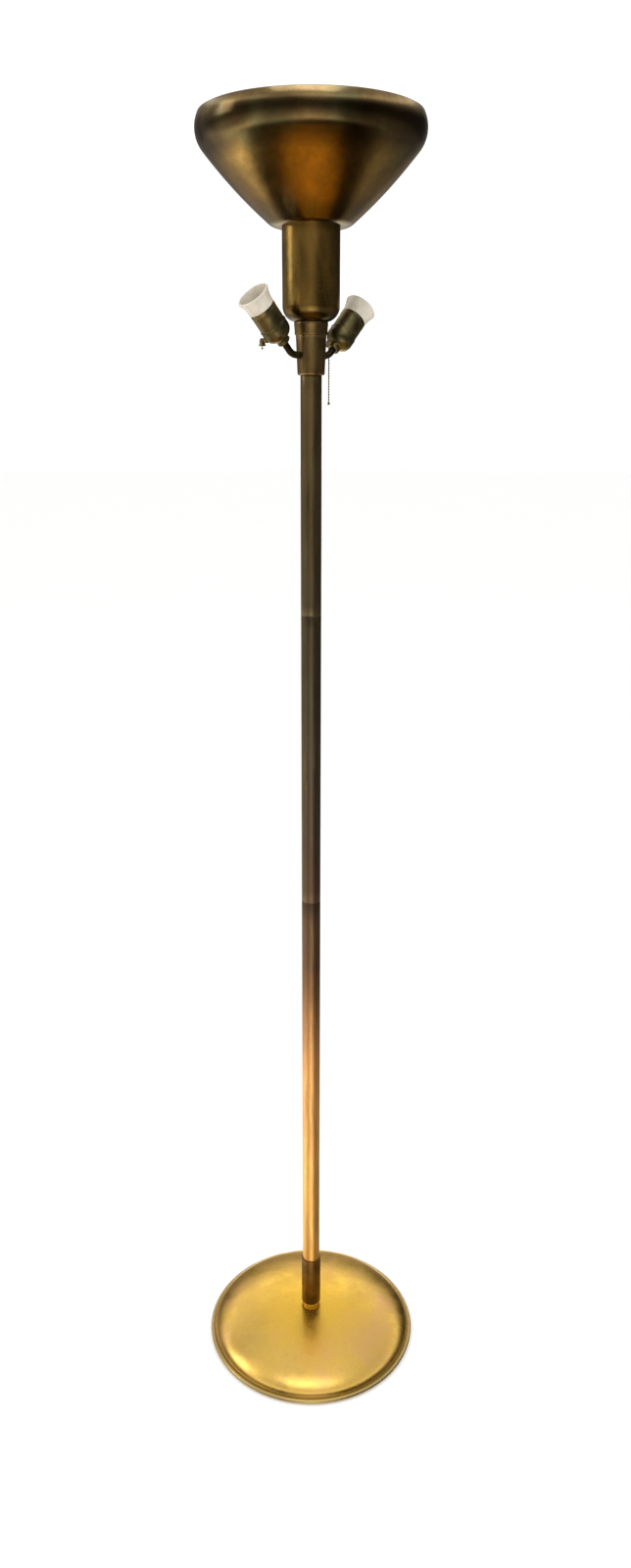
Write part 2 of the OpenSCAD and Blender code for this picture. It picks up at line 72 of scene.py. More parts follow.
# What glossy surfaces reflect, as stops from straight down (0) to straight up (1): a warm glow
# below, a dark floor, a bright band low down, dim walls and a light ceiling.
ROOM_RISE = [
    (0.0, (1.05, 0.50, 0.055)), (0.035, (0.95, 0.46, 0.06)), (0.055, (0.20, 0.13, 0.06)),
    (0.11, (0.30, 0.22, 0.13)), (0.17, (3.20, 2.85, 2.20)), (0.25, (1.80, 1.60, 1.30)),
    (0.44, (0.36, 0.31, 0.25)), (0.60, (0.22, 0.20, 0.17)), (0.70, (0.46, 0.42, 0.35)),
    (0.75, (1.90, 1.82, 1.68)), (0.82, (0.88, 0.83, 0.74)), (0.90, (0.78, 0.75, 0.67)),
    (1.0, (0.95, 0.92, 0.86)),
]
# The same from the left (0) to the right (1), as shares of that light.
ROOM_SIDEWAYS = [
    (0.0, 0.95), (0.05, 0.70), (0.11, 1.1), (0.19, 0.40), (0.34, 0.60), (0.48, 1.40),
    (0.59, 1.0), (0.76, 0.14), (0.92, 0.16), (1.0, 0.30),
]
# How far the ceiling is lit evenly from side to side, from straight down to straight up.
ROOM_OVERHEAD = [(0.62, 0.0), (0.76, 0.8)]


# ---------- sizes read from the frame ----------

def low(node):
    return Vector(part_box(node)[0])


def high(node):
    return Vector(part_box(node)[1])


def radius(node):
    return (high(node).x - low(node).x) / 2


def mount(name):
    return next(m for m in frame["record"]["mounts"] if m["name"] == name)


def socket_frame(name):
    """A side socket's matrix: +Z along its axis from its cap's end, +Y round the column."""
    axis = Vector(mount(name)["axis"]).normalized()
    origin = Vector(mount(name)["pos_m"]) - axis * (SOCKET_MOUNT * MM)
    side = Vector((0, 0, 1)).cross(axis).normalized()
    out = side.cross(axis)
    turn = Matrix((out, side, axis)).transposed().to_4x4()
    return Matrix.Translation(origin) @ turn


# ---------- outlines ----------

def arc(center, r, start, end, steps):
    """Points on an arc, in the outline's own (radius, height) plane. Angles are in degrees."""
    points = []
    for i in range(steps + 1):
        a = math.radians(start + (end - start) * i / steps)
        points.append((center[0] + r * math.cos(a), center[1] + r * math.sin(a)))
    return points


def rounded(corners, steps=4):
    """An outline with its corners rounded. Each corner is (radius, height), with its rounding
    as a third value where it has one."""
    out = []
    count = len(corners)
    for i, corner in enumerate(corners):
        here = Vector(corner[:2])
        fillet = corner[2] if len(corner) > 2 else 0
        if not fillet:
            out.append(tuple(here))
            continue
        back = Vector(corners[i - 1][:2]) - here
        ahead = Vector(corners[(i + 1) % count][:2]) - here
        reach = min(fillet, back.length * 0.49, ahead.length * 0.49)
        start = here + back.normalized() * reach
        end = here + ahead.normalized() * reach
        for k in range(steps + 1):
            t = k / steps
            out.append(tuple(start * (1 - t) ** 2 + here * 2 * t * (1 - t) + end * t * t))
    return out


def rounded_mm(corners):
    """The same for corners given in mm."""
    return [(r * MM, z * MM) for r, z in rounded(corners)]


# ---------- mesh builders ----------

def finish_mesh(name, bm):
    bmesh.ops.recalc_face_normals(bm, faces=bm.faces)
    mesh = bpy.data.meshes.new(name)
    bm.to_mesh(mesh)
    bm.free()
    for face in mesh.polygons:
        face.use_smooth = True
    mesh.set_sharp_from_angle(angle=math.radians(SHARP_ANGLE))
    piece = bpy.data.objects.new(name, mesh)
    bpy.context.collection.objects.link(piece)
    return piece


def lathe(name, outline, steps=128, closed=True, wobble=0.0, wobble_scale=14.0):
    """A body of revolution from an outline of (radius, height) points in metres. Its UV map runs
    once round the body and, in metres, along the outline. The seam faces the back. The wobble is
    how far it strays from round, in metres."""
    bm = bmesh.new()
    uv = bm.loops.layers.uv.new("UVMap")
    rings = []
    for r, z in outline:
        if r == 0:
            rings.append([bm.verts.new((0, 0, z))])
            continue
        ring = []
        for k in range(steps):
            a = math.pi / 2 + 2 * math.pi * k / steps
            p = Vector((r * math.cos(a), r * math.sin(a), z))
            if wobble:
                grow = 1 + wobble * noise.noise(p * wobble_scale) / r
                p.x *= grow
                p.y *= grow
            ring.append(bm.verts.new(p))
        rings.append(ring)
    lengths = [0.0]
    for a, b in zip(outline, outline[1:] + outline[:1]):
        lengths.append(lengths[-1] + math.dist(a, b))
    spans = len(outline) if closed else len(outline) - 1
    for i in range(spans):
        lower, upper = rings[i], rings[(i + 1) % len(rings)]
        if len(lower) == 1 and len(upper) == 1:
            continue
        for k in range(steps):
            n = (k + 1) % steps
            if len(lower) == 1:
                corners = [(lower[0], k, 0), (upper[k], k, 1), (upper[n], k + 1, 1)]
            elif len(upper) == 1:
                corners = [(lower[k], k, 0), (upper[0], k, 1), (lower[n], k + 1, 0)]
            else:
                corners = [(lower[k], k, 0), (upper[k], k, 1), (upper[n], k + 1, 1),
                           (lower[n], k + 1, 0)]
            face = bm.faces.new([c[0] for c in corners])
            for loop, (_, turn, end) in zip(face.loops, corners):
                loop[uv].uv = (turn / steps, lengths[i + end])
    return finish_mesh(name, bm)


def tube(name, path, outer, inner):
    """A hollow tube swept along a path that lies in one plane, whose normal is +Y."""
    sides = 28
    bm = bmesh.new()
    uv = bm.loops.layers.uv.new("UVMap")
    rings = []
    run = [0.0]
    for a, b in zip(path, path[1:]):
        run.append(run[-1] + (b - a).length)
    for i, point in enumerate(path):
        ahead = path[min(i + 1, len(path) - 1)] - path[max(i - 1, 0)]
        ahead.normalize()
        side = Vector((0, 1, 0))
        up = side.cross(ahead)
        for r in (outer, inner):
            rings.append([bm.verts.new(point + (side * math.cos(a) + up * math.sin(a)) * r)
                          for a in (2 * math.pi * k / sides for k in range(sides))])
    pairs = []
    for i in range(len(path) - 1):
        pairs.append((rings[2 * i], rings[2 * i + 2], run[i], run[i + 1]))
        pairs.append((rings[2 * i + 3], rings[2 * i + 1], run[i + 1], run[i]))
    pairs.append((rings[1], rings[0], 0, outer - inner))
    pairs.append((rings[-2], rings[-1], run[-1], run[-1] + outer - inner))
    for first, second, v0, v1 in pairs:
        for k in range(sides):
            n = (k + 1) % sides
            face = bm.faces.new((first[k], first[n], second[n], second[k]))
            corners = ((k, v0), (k + 1, v0), (k + 1, v1), (k, v1))
            for loop, (turn, v) in zip(face.loops, corners):
                loop[uv].uv = (turn / sides, v)
    return finish_mesh(name, bm)


def join(name, parts):
    """Joins pieces into the first one, which takes the name."""
    bpy.ops.object.select_all(action="DESELECT")
    for part in parts:
        part.select_set(True)
    bpy.context.view_layer.objects.active = parts[0]
    bpy.ops.object.join()
    joined = bpy.context.view_layer.objects.active
    joined.name = name
    joined.data.name = name
    return joined


def move(piece, matrix):
    """Moves a piece's mesh, so that its own object stays at the origin."""
    piece.data.transform(matrix)
    return piece


def place(piece, material, body, *nodes):
    """Gives a piece its material and its body, and hides the plain nodes that it stands for."""
    piece.data.materials.clear()
    piece.data.materials.append(material)
    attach(piece, body)
    if nodes:
        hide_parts(*nodes)


# ---------- materials ----------

def set_stops(ramp, stops):
    """Sets a colour ramp to stops of (position, grey or colour), in rising order."""
    ramp.elements.remove(ramp.elements[1])
    for i, (at, colour) in enumerate(stops):
        element = ramp.elements.new(at) if i else ramp.elements[0]
        element.position = at
        grey = isinstance(colour, (int, float))
        element.color = (colour,) * 3 + (1,) if grey else tuple(colour) + (1,)


def add_node(tree, kind, **values):
    node = tree.nodes.new(kind)
    for key, value in values.items():
        setattr(node, key, value)
    return node


class Nodes:
    """A material with a Principled shader, and short calls for the nodes that feed it."""

    def __init__(self, name, metallic=1.0, roughness=0.4, **fixed):
        self.material = bpy.data.materials.new(name)
        self.material.use_nodes = True
        self.tree = self.material.node_tree
        self.shader = self.tree.nodes["Principled BSDF"]
        self.shader.inputs["Metallic"].default_value = metallic
        self.shader.inputs["Roughness"].default_value = roughness
        for socket, value in fixed.items():
            self.shader.inputs[socket.replace("_", " ")].default_value = value

    def add(self, kind, **values):
        return add_node(self.tree, kind, **values)

    def link(self, source, target):
        self.tree.links.new(source, target)

    def feed(self, target, value):
        if hasattr(value, "is_output"):
            self.link(value, target)
        else:
            target.default_value = value

    def coordinates(self, scale=(1, 1, 1), uv=False):
        """Object coordinates, or the UV map's, times a scale."""
        source = self.add("ShaderNodeTexCoord").outputs["UV" if uv else "Object"]
        mapping = self.add("ShaderNodeMapping")
        mapping.inputs["Scale"].default_value = scale
        self.link(source, mapping.inputs["Vector"])
        return mapping.outputs["Vector"]

    def noise(self, scale, detail=4.0, rough=0.5, stretch=(1, 1, 1), uv=False, distortion=0.0):
        node = self.add("ShaderNodeTexNoise")
        node.inputs["Scale"].default_value = scale
        node.inputs["Detail"].default_value = detail
        node.inputs["Roughness"].default_value = rough
        node.inputs["Distortion"].default_value = distortion
        self.link(self.coordinates(stretch, uv), node.inputs["Vector"])
        return node.outputs["Fac"]

    def cells(self, scale):
        node = self.add("ShaderNodeTexVoronoi")
        node.inputs["Scale"].default_value = scale
        self.link(self.coordinates(), node.inputs["Vector"])
        return node.outputs["Distance"]

    def ramp(self, fac, stops):
        """A ramp of (position, grey or colour)."""
        node = self.add("ShaderNodeValToRGB")
        set_stops(node.color_ramp, stops)
        self.feed(node.inputs["Fac"], fac)
        return node.outputs["Color"]

    def mix(self, fac, a, b):
        node = self.add("ShaderNodeMix", data_type="RGBA")
        self.feed(node.inputs[0], fac)
        for target, value in ((node.inputs[6], a), (node.inputs[7], b)):
            self.feed(target, value + (1,) if isinstance(value, tuple) else value)
        return node.outputs[2]

    def cover(self, tone, colour, pattern, stops):
        """A tone with a colour over it, as strong as a ramp of the pattern says."""
        return self.mix(self.ramp(pattern, stops), tone, colour)

    def specks(self, tone, colour, strength=0.75, scale=620, stretch=(1, 1, 1)):
        """A tone with small specks of a colour."""
        spots = self.noise(scale, 2.0, 0.6, stretch=stretch)
        return self.cover(tone, colour, spots, [(0.66, 0.0), (0.74, strength)])

    def marks(self, repeats):
        """Fine lines round or along a turned or drawn piece, by its UV map."""
        return self.noise(1.0, 3.0, 0.7, stretch=repeats, uv=True)

    def math(self, kind, a, b):
        node = self.add("ShaderNodeMath", operation=kind)
        self.feed(node.inputs[0], a)
        self.feed(node.inputs[1], b)
        return node.outputs[0]

    def height(self, z0, z1):
        """0 at height z0 and 1 at z1, along the object's own Z."""
        split = self.add("ShaderNodeSeparateXYZ")
        self.link(self.add("ShaderNodeTexCoord").outputs["Object"], split.inputs[0])
        node = self.add("ShaderNodeMapRange")
        node.inputs["From Min"].default_value = z0
        node.inputs["From Max"].default_value = z1
        self.link(split.outputs["Z"], node.inputs["Value"])
        return node.outputs["Result"]

    def colour(self, value):
        self.feed(self.shader.inputs["Base Color"], value)

    def roughness(self, value):
        self.feed(self.shader.inputs["Roughness"], value)

    def bump(self, height, strength, distance, base=None):
        node = self.add("ShaderNodeBump")
        node.inputs["Strength"].default_value = strength
        node.inputs["Distance"].default_value = distance
        self.link(height, node.inputs["Height"])
        if base is not None:
            self.link(base, node.inputs["Normal"])
        self.link(node.outputs["Normal"], self.shader.inputs["Normal"])
        return node.outputs["Normal"]


def aged_brass(name, bright, brown, dark, roughness, patch, wear, spun=True, streak=(1, 1, 1),
               stain=None, tints_and_painted_shade=()):
    """Old lacquered brass: brown patina in soft clouds over the bright metal, dark specks, spin
    marks or drawing lines, and small dents. wear moves the balance towards the bright metal.
    Each tint is (height where it is nil, height where it is full, strength, colour); the husk's
    tint is painted shade."""
    m = Nodes(name)
    clouds = m.noise(patch, 6.0, 0.55, stretch=streak, distortion=0.4)
    tone = m.ramp(clouds, [(0.62 - wear * 0.5, dark), (0.72 - wear * 0.4, brown),
                           (1.02 - wear * 0.4, bright)])
    fine = m.noise(patch * 9, 5.0, 0.65, stretch=streak)
    tone = m.cover(tone, brown, fine, [(0.35, 0.0), (0.7, 0.45)])
    if stain is not None:
        patches = m.noise(patch * 1.7, 3.0, 0.5)
        tone = m.cover(tone, stain, patches, [(0.52, 0.0), (0.68, 0.5)])
    for nil, full, strength, colour in tints_and_painted_shade:
        tone = m.mix(m.math("MULTIPLY", m.height(nil, full), strength), tone, colour)
    m.colour(m.specks(tone, tuple(c * 0.45 for c in dark)))
    smear = m.noise(patch * 3.1, 5.0, 0.6, stretch=streak)
    m.roughness(m.ramp(smear, [(0.3, roughness - 0.07), (0.75, roughness + 0.13)]))
    lines = m.bump(m.marks(SPIN_MARKS if spun else DRAWN_MARKS), 0.22, 0.06 * MM)
    m.bump(m.noise(38, 2.0, 0.5), 0.25, 1.2 * MM, lines)
    return m.material


def plain_metal(name, colour, roughness, dirt=(0.12, 0.09, 0.06)):
    """A turned or pressed metal that has only dulled, with dirt in soft clouds."""
    m = Nodes(name)
    m.colour(m.cover(colour, dirt, m.noise(120, 5.0, 0.6), [(0.42, 0.0), (0.78, 0.7)]))
    m.roughness(m.ramp(m.noise(300, 4.0, 0.6), [(0.3, roughness - 0.08), (0.7, roughness + 0.15)]))
    m.bump(m.noise(900, 2.0, 0.5), 0.2, 0.1 * MM)
    return m.material


def glazed(name, colour, stain, roughness=0.16, crackle=True):
    """Glazed ceramic: cream glaze over a darker body, fine crazing and brown dirt in the pores."""
    m = Nodes(name, metallic=0.0, roughness=roughness, Coat_Weight=0.35, Coat_Roughness=0.08)
    tone = m.cover(colour, stain, m.noise(90, 5.0, 0.6), [(0.4, 0.0), (0.75, 0.55)])
    if crackle:
        tone = m.cover(tone, stain, m.cells(260), [(0.0, 0.25), (0.06, 0.0)])
    pores = m.noise(800, 2.0, 0.5)
    m.colour(m.cover(tone, tuple(c * 0.35 for c in stain), pores, [(0.68, 0.0), (0.76, 0.7)]))
    m.roughness(m.ramp(m.noise(150, 4.0, 0.6), [(0.3, roughness), (0.8, roughness + 0.22)]))
    m.bump(m.noise(210, 3.0, 0.5), 0.15, 0.3 * MM)
    return m.material


def moulded(name, colour, light, roughness, grain, depth=0.2 * MM):
    """Cast or moulded: a mottled colour with a fine grain."""
    m = Nodes(name, metallic=0.0, roughness=roughness)
    m.colour(m.cover(colour, light, m.noise(160, 6.0, 0.65), [(0.35, 0.0), (0.75, 1.0)]))
    m.roughness(m.ramp(m.noise(260, 4.0, 0.6), [(0.3, roughness - 0.1), (0.75, roughness + 0.15)]))
    m.bump(m.noise(grain, 4.0, 0.6), 0.4, depth)
    return m.material


def felt(name):
    m = Nodes(name, metallic=0.0, roughness=0.95, Sheen_Weight=0.4)
    fibres = m.noise(1500, 6.0, 0.7, distortion=1.5)
    m.colour(m.cover((0.020, 0.035, 0.018), (0.07, 0.105, 0.055), fibres,
                     [(0.3, 0.0), (0.7, 1.0)]))
    m.bump(fibres, 0.8, 0.6 * MM)
    return m.material


def bowl_bronze():
    """Dark bronze lacquer over spun brass, with old stains and a few bare spots. Its colour by
    height is partly patina and partly painted reflection:
    darkened by heat towards the husk, a painted amber reflection across the flank, a painted dark
    reflection band on the lower shoulder, and cleanest and lightest at the top of the shoulder and
    the lip."""
    m = Nodes("bowl_bronze")
    share = m.height(low("bowl").z, high("bowl").z)
    drift = m.math("MULTIPLY", m.math("SUBTRACT", m.noise(9.0, 3.0, 0.5), 0.5), 0.22)
    # painted reflection in part: this ramp by height darkens the bottom towards the husk (heat),
    # paints an amber reflection across the flank (0.24 to 0.52) and a dark reflection band on the
    # lower shoulder (0.64 to 0.84), and lightens the lip
    tone = m.ramp(m.math("ADD", share, drift),
                  [(0.00, (0.09, 0.068, 0.036)), (0.12, (0.12, 0.082, 0.034)),
                   (0.24, (0.27, 0.172, 0.057)),
                   (0.52, (0.30, 0.200, 0.062)), (0.64, (0.075, 0.051, 0.021)),
                   (0.84, (0.055, 0.040, 0.019)), (0.94, (0.32, 0.225, 0.105)),
                   (1.00, (0.30, 0.215, 0.110))])
    clouds = m.noise(11.0, 6.0, 0.6, distortion=0.6)
    tone = m.cover(tone, (0.085, 0.055, 0.024), clouds, [(0.40, 0.6), (0.60, 0.0)])
    green = m.noise(15.0, 3.0, 0.5)
    tone = m.cover(tone, (0.13, 0.145, 0.075), green, [(0.55, 0.0), (0.70, 0.5)])
    fine = m.noise(150.0, 5.0, 0.65)
    tone = m.cover(tone, (0.12, 0.080, 0.034), fine, [(0.40, 0.0), (0.75, 0.4)])
    m.colour(m.specks(tone, (0.03, 0.02, 0.012)))
    m.roughness(m.ramp(m.noise(26.0, 5.0, 0.6), [(0.3, 0.15), (0.75, 0.27)]))
    m.bump(m.noise(30, 2.0, 0.5), 0.3, 1.4 * MM, m.bump(m.marks(SPIN_MARKS), 0.2, 0.05 * MM))
    return m.material


def column_brass():
    """The column's patina by height: gold at the foot, copper above it, dark and greyish where
    hands have held it, and brown-olive at the top. Drawing lines run along it."""
    m = Nodes("column_brass")
    share = m.height(low("lower_tube").z, high("upper_tube").z)
    uneven = m.math("SUBTRACT", m.noise(5.0, 3.0, 0.5, stretch=(6, 6, 1)), 0.5)
    share = m.math("ADD", share, m.math("MULTIPLY", uneven, 0.05))
    tone = m.ramp(share, [(0.00, (0.84, 0.50, 0.14)), (0.16, (0.86, 0.50, 0.17)),
                          (0.29, (0.84, 0.47, 0.19)), (0.36, (0.46, 0.25, 0.12)),
                          (0.43, (0.165, 0.098, 0.063)), (0.56, (0.115, 0.085, 0.064)),
                          (0.75, (0.122, 0.104, 0.072)), (0.88, (0.180, 0.145, 0.085)),
                          (1.00, (0.225, 0.165, 0.078))])
    clouds = m.noise(20, 6.0, 0.6, stretch=(3, 3, 0.35), distortion=0.3)
    tone = m.cover(tone, (0.075, 0.050, 0.028), clouds, [(0.36, 0.4), (0.55, 0.0)])
    bare = m.noise(70, 5.0, 0.7, stretch=(2, 2, 0.15))
    tone = m.cover(tone, (0.55, 0.38, 0.17), bare, [(0.60, 0.0), (0.80, 0.35)])
    m.colour(m.specks(tone, (0.03, 0.022, 0.014), 0.6, 700, (1, 1, 0.5)))
    m.roughness(m.ramp(m.noise(45, 5.0, 0.6, stretch=(2, 2, 0.3)), [(0.3, 0.30), (0.75, 0.48)]))
    m.bump(m.noise(55, 2.0, 0.5), 0.2, 0.6 * MM, m.bump(m.marks(COLUMN_MARKS), 0.2, 0.05 * MM))
    return m.material


def make_materials():
    return {
        "bowl": bowl_bronze(),
        "husk": aged_brass("husk_brass", (0.56, 0.35, 0.098), (0.28, 0.175, 0.047),
                           (0.07, 0.048, 0.014), roughness=0.26, patch=16.0, wear=0.65,
                           streak=(1, 1, 0.25), spun=False, stain=(0.13, 0.125, 0.05),
                           # painted shade: this tint darkens the husk's round bottom to near black,
                           # full at 7 mm above its lowest point and gone at 18 mm
                           tints_and_painted_shade=[(low("husk").z + 18 * MM, low("husk").z + 7 * MM, 0.95,
                                   (0.045, 0.032, 0.012))]),
        "neck": aged_brass("neck_brass", (0.54, 0.38, 0.16), (0.26, 0.185, 0.080),
                           (0.10, 0.072, 0.033), roughness=0.33, patch=30.0, wear=0.55,
                           streak=(1, 1, 0.5)),
        "column": column_brass(),
        "sleeve": aged_brass("sleeve_bronze", (0.36, 0.20, 0.05), (0.19, 0.105, 0.030),
                             (0.07, 0.042, 0.018), roughness=0.36, patch=24.0, wear=0.5,
                             spun=False),
        "base": aged_brass("base_brass", (0.86, 0.56, 0.12), (0.76, 0.50, 0.13),
                           (0.52, 0.34, 0.10), roughness=0.27, patch=9.0, wear=0.75,
                           stain=(0.80, 0.46, 0.22),
                           tints_and_painted_shade=[(low("base_shell").z + 30 * MM, high("base_shell").z, 0.75,
                                   (0.86, 0.54, 0.055)),
                                  (low("base_shell").z + 6.5 * MM, low("base_shell").z + 4 * MM,
                                   0.8, (0.40, 0.36, 0.20))]),
        "ring": aged_brass("ring_brass", (0.82, 0.62, 0.30), (0.62, 0.44, 0.18),
                           (0.30, 0.20, 0.09), roughness=0.24, patch=60.0, wear=0.8),
        "arm": aged_brass("arm_bronze", (0.15, 0.115, 0.060), (0.055, 0.043, 0.025),
                          (0.018, 0.014, 0.010), roughness=0.42, patch=60.0, wear=0.4),
        "socket": aged_brass("socket_brass", (0.34, 0.265, 0.12), (0.16, 0.135, 0.066),
                             (0.075, 0.066, 0.036), roughness=0.38, patch=42.0, wear=0.5,
                             stain=(0.05, 0.065, 0.035)),
        "outlet": aged_brass("outlet_brass", (0.36, 0.30, 0.16), (0.20, 0.165, 0.085),
                             (0.07, 0.060, 0.032), roughness=0.42, patch=90.0, wear=0.5),
        "chain": plain_metal("chain_brass", (0.20, 0.16, 0.09), 0.40),
        "contact": plain_metal("contact_brass", (0.66, 0.52, 0.28), 0.30),
        "nickel": plain_metal("nickel_shell", (0.56, 0.53, 0.46), 0.34),
        "plain": plain_metal("plain_brass", (0.45, 0.33, 0.15), 0.42),
        "steel": plain_metal("zinc_steel", (0.55, 0.56, 0.55), 0.42, dirt=(0.16, 0.13, 0.10)),
        "iron": moulded("base_iron", (0.020, 0.020, 0.021), (0.060, 0.052, 0.045), 0.72, 240,
                        1.2 * MM),
        "collar": glazed("collar_ceramic", (0.68, 0.62, 0.52), (0.46, 0.37, 0.25)),
        "porcelain": glazed("white_porcelain", (0.78, 0.75, 0.68), (0.52, 0.47, 0.38), 0.42, False),
        "fibre": moulded("fibre", (0.075, 0.050, 0.030), (0.14, 0.10, 0.06), 0.8, 900),
        "felt": felt("green_felt"),
        "bakelite": moulded("bakelite", (0.030, 0.014, 0.008), (0.060, 0.028, 0.015), 0.3, 700,
                            0.1 * MM),
        "cover": moulded("wire_cover", (0.020, 0.018, 0.015), (0.055, 0.048, 0.040), 0.7, 1400,
                         0.3 * MM),
    }


# ---------- base and column ----------

def base_shell():
    """The spun cover: a flat land at the crown, an elliptical dome, a groove and a beaded rim."""
    rim, foot = radius("base_shell") - WOBBLE, low("base_shell").z
    wide, mid = rim - 6 * MM, foot + 4.5 * MM  # the dome's foot
    land, land_z = 16 * MM, high("base_shell").z
    wall, bead_r, hole = 1.2 * MM, 2.5 * MM, radius("center_pipe")
    tall = (land_z - mid) / math.sqrt(1 - (land / wide) ** 2)

    def dome(inset, steps):
        start = math.acos(land / (wide - inset))
        angles = [start * (1 - i / steps) for i in range(steps + 1)]
        return [((wide - inset) * math.cos(a), mid + (tall - inset) * math.sin(a)) for a in angles]

    groove = [(wide + 0.15 * MM, mid - 0.5 * MM), (wide + 0.6 * MM, mid - 1.1 * MM),
              (wide + 1.2 * MM, mid - 1.2 * MM)]
    bead = arc((rim - bead_r, foot + bead_r), bead_r, 140, -90, 20)
    outline = [(hole, land_z)] + dome(0, 90) + groove + bead
    outline += [(wide - wall, foot)] + dome(wall, 60)[::-1] + [(hole, land_z - wall)]
    return lathe("base_cover", outline, steps=256, wobble=WOBBLE, wobble_scale=9.0)


def seating_ring():
    """A turned ring under the column, with a spigot up into it."""
    z, top, r = low("seating_ring").z, low("lower_tube").z, radius("seating_ring")
    hole, spigot, spigot_h = radius("center_pipe"), radius("lower_tube") - 1.05 * MM, 8 * MM
    corners = [(hole, z), (r - 0.6 * MM, z), (r, z + 1.2 * MM, 0.6 * MM), (r, top, 0.4 * MM),
               (spigot, top), (spigot, top + spigot_h), (hole, top + spigot_h)]
    return lathe("seating_ring_turned", rounded(corners))


def foot_sleeve():
    z, top, r = low("foot_sleeve").z, high("foot_sleeve").z, radius("foot_sleeve")
    bore = radius("lower_tube")
    corners = [(bore, z), (r, z, 1.8 * MM), (r, top, 0.9 * MM), (bore, top)]
    return lathe("foot_sleeve_drawn", rounded(corners, 6))


def column_tube(node):
    """A drawn tube whose broken edges show the seams between the three lengths."""
    z, top, r = low(node).z, high(node).z, radius(node)
    bore, flat, shoulder = r - 1 * MM, r - 0.45 * MM, r - 0.1 * MM
    edge, levels = 0.6 * MM, 24
    side = [(r, z + edge + (top - z - 2 * edge) * i / levels) for i in range(levels + 1)]
    outline = [(bore, z), (flat, z), (shoulder, z + edge / 2)] + side
    outline += [(shoulder, top - edge / 2), (flat, top), (bore, top)]
    return lathe(node + "_drawn", outline, steps=96, wobble=0.06 * MM, wobble_scale=30.0)


# ---------- neck, husk and bowl ----------

def cluster_body():
    """A tapering cup, narrow end down."""
    z, top, r = low("cluster_body").z, high("cluster_body").z, radius("cluster_body")
    hole, foot, wall, floor = radius("center_pipe"), 16.1 * MM, 1.4 * MM, 2 * MM
    corners = [(hole, z), (foot - 1 * MM, z, 0.6 * MM), (foot, z + 1.5 * MM, 1 * MM),
               (r, top, 0.3 * MM), (r - wall, top), (foot - wall, z + floor), (hole, z + floor)]
    return lathe("cluster_body_spun", rounded(corners, 6))


def cluster_cap():
    """The lid on the cluster, with a groove round it and a spigot down into the cup."""
    z, top, r = high("cluster_body").z, high("cluster_cap").z, radius("cluster_cap")
    hole, spigot, spigot_z = radius("center_pipe"), radius("cluster_body") - 1.65 * MM, z - 3.4 * MM
    bore, lid, groove, soft = radius("cluster_body") - 3 * MM, 2 * MM, r - 0.25 * MM, 0.2 * MM
    corners = [(bore, spigot_z), (spigot, spigot_z), (spigot, z), (r, z, 0.4 * MM),
               (r, z + 1.2 * MM, soft), (groove, z + 1.4 * MM, soft),
               (groove, z + 1.8 * MM, soft), (r, z + 2 * MM, soft),
               (r, top, 0.6 * MM), (hole, top), (hole, top - lid), (bore, top - lid)]
    return lathe("cluster_cap_turned", rounded(corners))


def neck_collar():
    """A sleeve that flares a little, with a turned-in foot and a lid under the husk."""
    z, top, r = low("neck_collar").z, high("neck_collar").z, radius("neck_collar")
    hole, seat, foot, wall, lid = radius("center_pipe"), 16.5 * MM, 19 * MM, 1.3 * MM, 1.5 * MM
    corners = [(seat, z), (foot, z, 0.5 * MM), (foot + 0.1 * MM, z + 1 * MM, 0.6 * MM),
               (r - 0.5 * MM, top - 6 * MM, 3 * MM), (r, top - 1.6 * MM, 0.9 * MM),
               (r - 0.3 * MM, top, 0.5 * MM), (hole, top), (hole, top - lid),
               (r - wall - 0.1 * MM, top - lid), (foot - wall, z + wall), (seat, z + wall)]
    return lathe("neck_collar_spun", rounded(corners))


def husk():
    """The round-bottomed cup that hides the mogul socket."""
    z, top, r = low("husk").z, high("husk").z, radius("husk")
    hole, corner, wall, levels = radius("center_pipe"), 17 * MM, 0.9 * MM, 16
    outer = arc((r - corner, z + corner), corner, -90, 0, 28)
    side = [(r, z + corner + (top - z - corner) * i / levels) for i in range(1, levels + 1)]
    inner = arc((r - corner, z + corner), corner - wall, -90, 0, 20)
    outline = [(hole, z)] + outer + side + [(r - wall, top)] + inner[::-1] + [(hole, z + wall)]
    return lathe("husk_spun", outline, steps=192, wobble=0.16 * MM, wobble_scale=22.0)


def walk(start, arcs, inset, steps):
    """A smooth line made of arcs, each (radius in mm, turn in degrees), that sets out level,
    and the heading it ends on."""
    points = [start]
    heading = 0.0
    for r, turn in arcs:
        r = (r - inset) * MM
        x, z = points[-1]
        center = (x - r * math.sin(heading), z + r * math.cos(heading))
        for i in range(1, steps + 1):
            a = heading + math.radians(turn) * i / steps
            points.append((center[0] + r * math.sin(a), center[1] - r * math.cos(a)))
        heading += math.radians(turn)
    return points, heading


def bowl():
    """The spun bowl: flat bottom, nearly straight flank, round shoulder and a rolled lip."""
    z, flat, wall = low("bowl").z, 38 * MM, 1.0 * MM
    lip, bead, bead_turn = 2.3 * MM, 1.25 * MM, 215
    heel, flank, shoulder = (16.7, 40.1), (576, 10.3), (31.3, 62.3)
    arcs, steps = (heel, flank, shoulder), 26
    outer, heading = walk((flat, z), arcs, 0, steps)
    inner, _ = walk((flat, z + wall), arcs, wall / MM, steps)
    run = Vector((math.cos(heading), math.sin(heading)))
    inward = Vector((-run.y, run.x))
    end = Vector(outer[-1]) + run * lip
    center = end + inward * bead
    first = math.degrees(math.atan2(-inward.y, -inward.x))
    roll = arc(center, bead, first, first + bead_turn, 14)
    outline = [(BOWL_HOLE, z)] + outer + roll + inner[::-1] + [(BOWL_HOLE, z + wall)]
    return lathe("bowl_spun", outline, steps=256, wobble=0.35 * MM, wobble_scale=16.0)


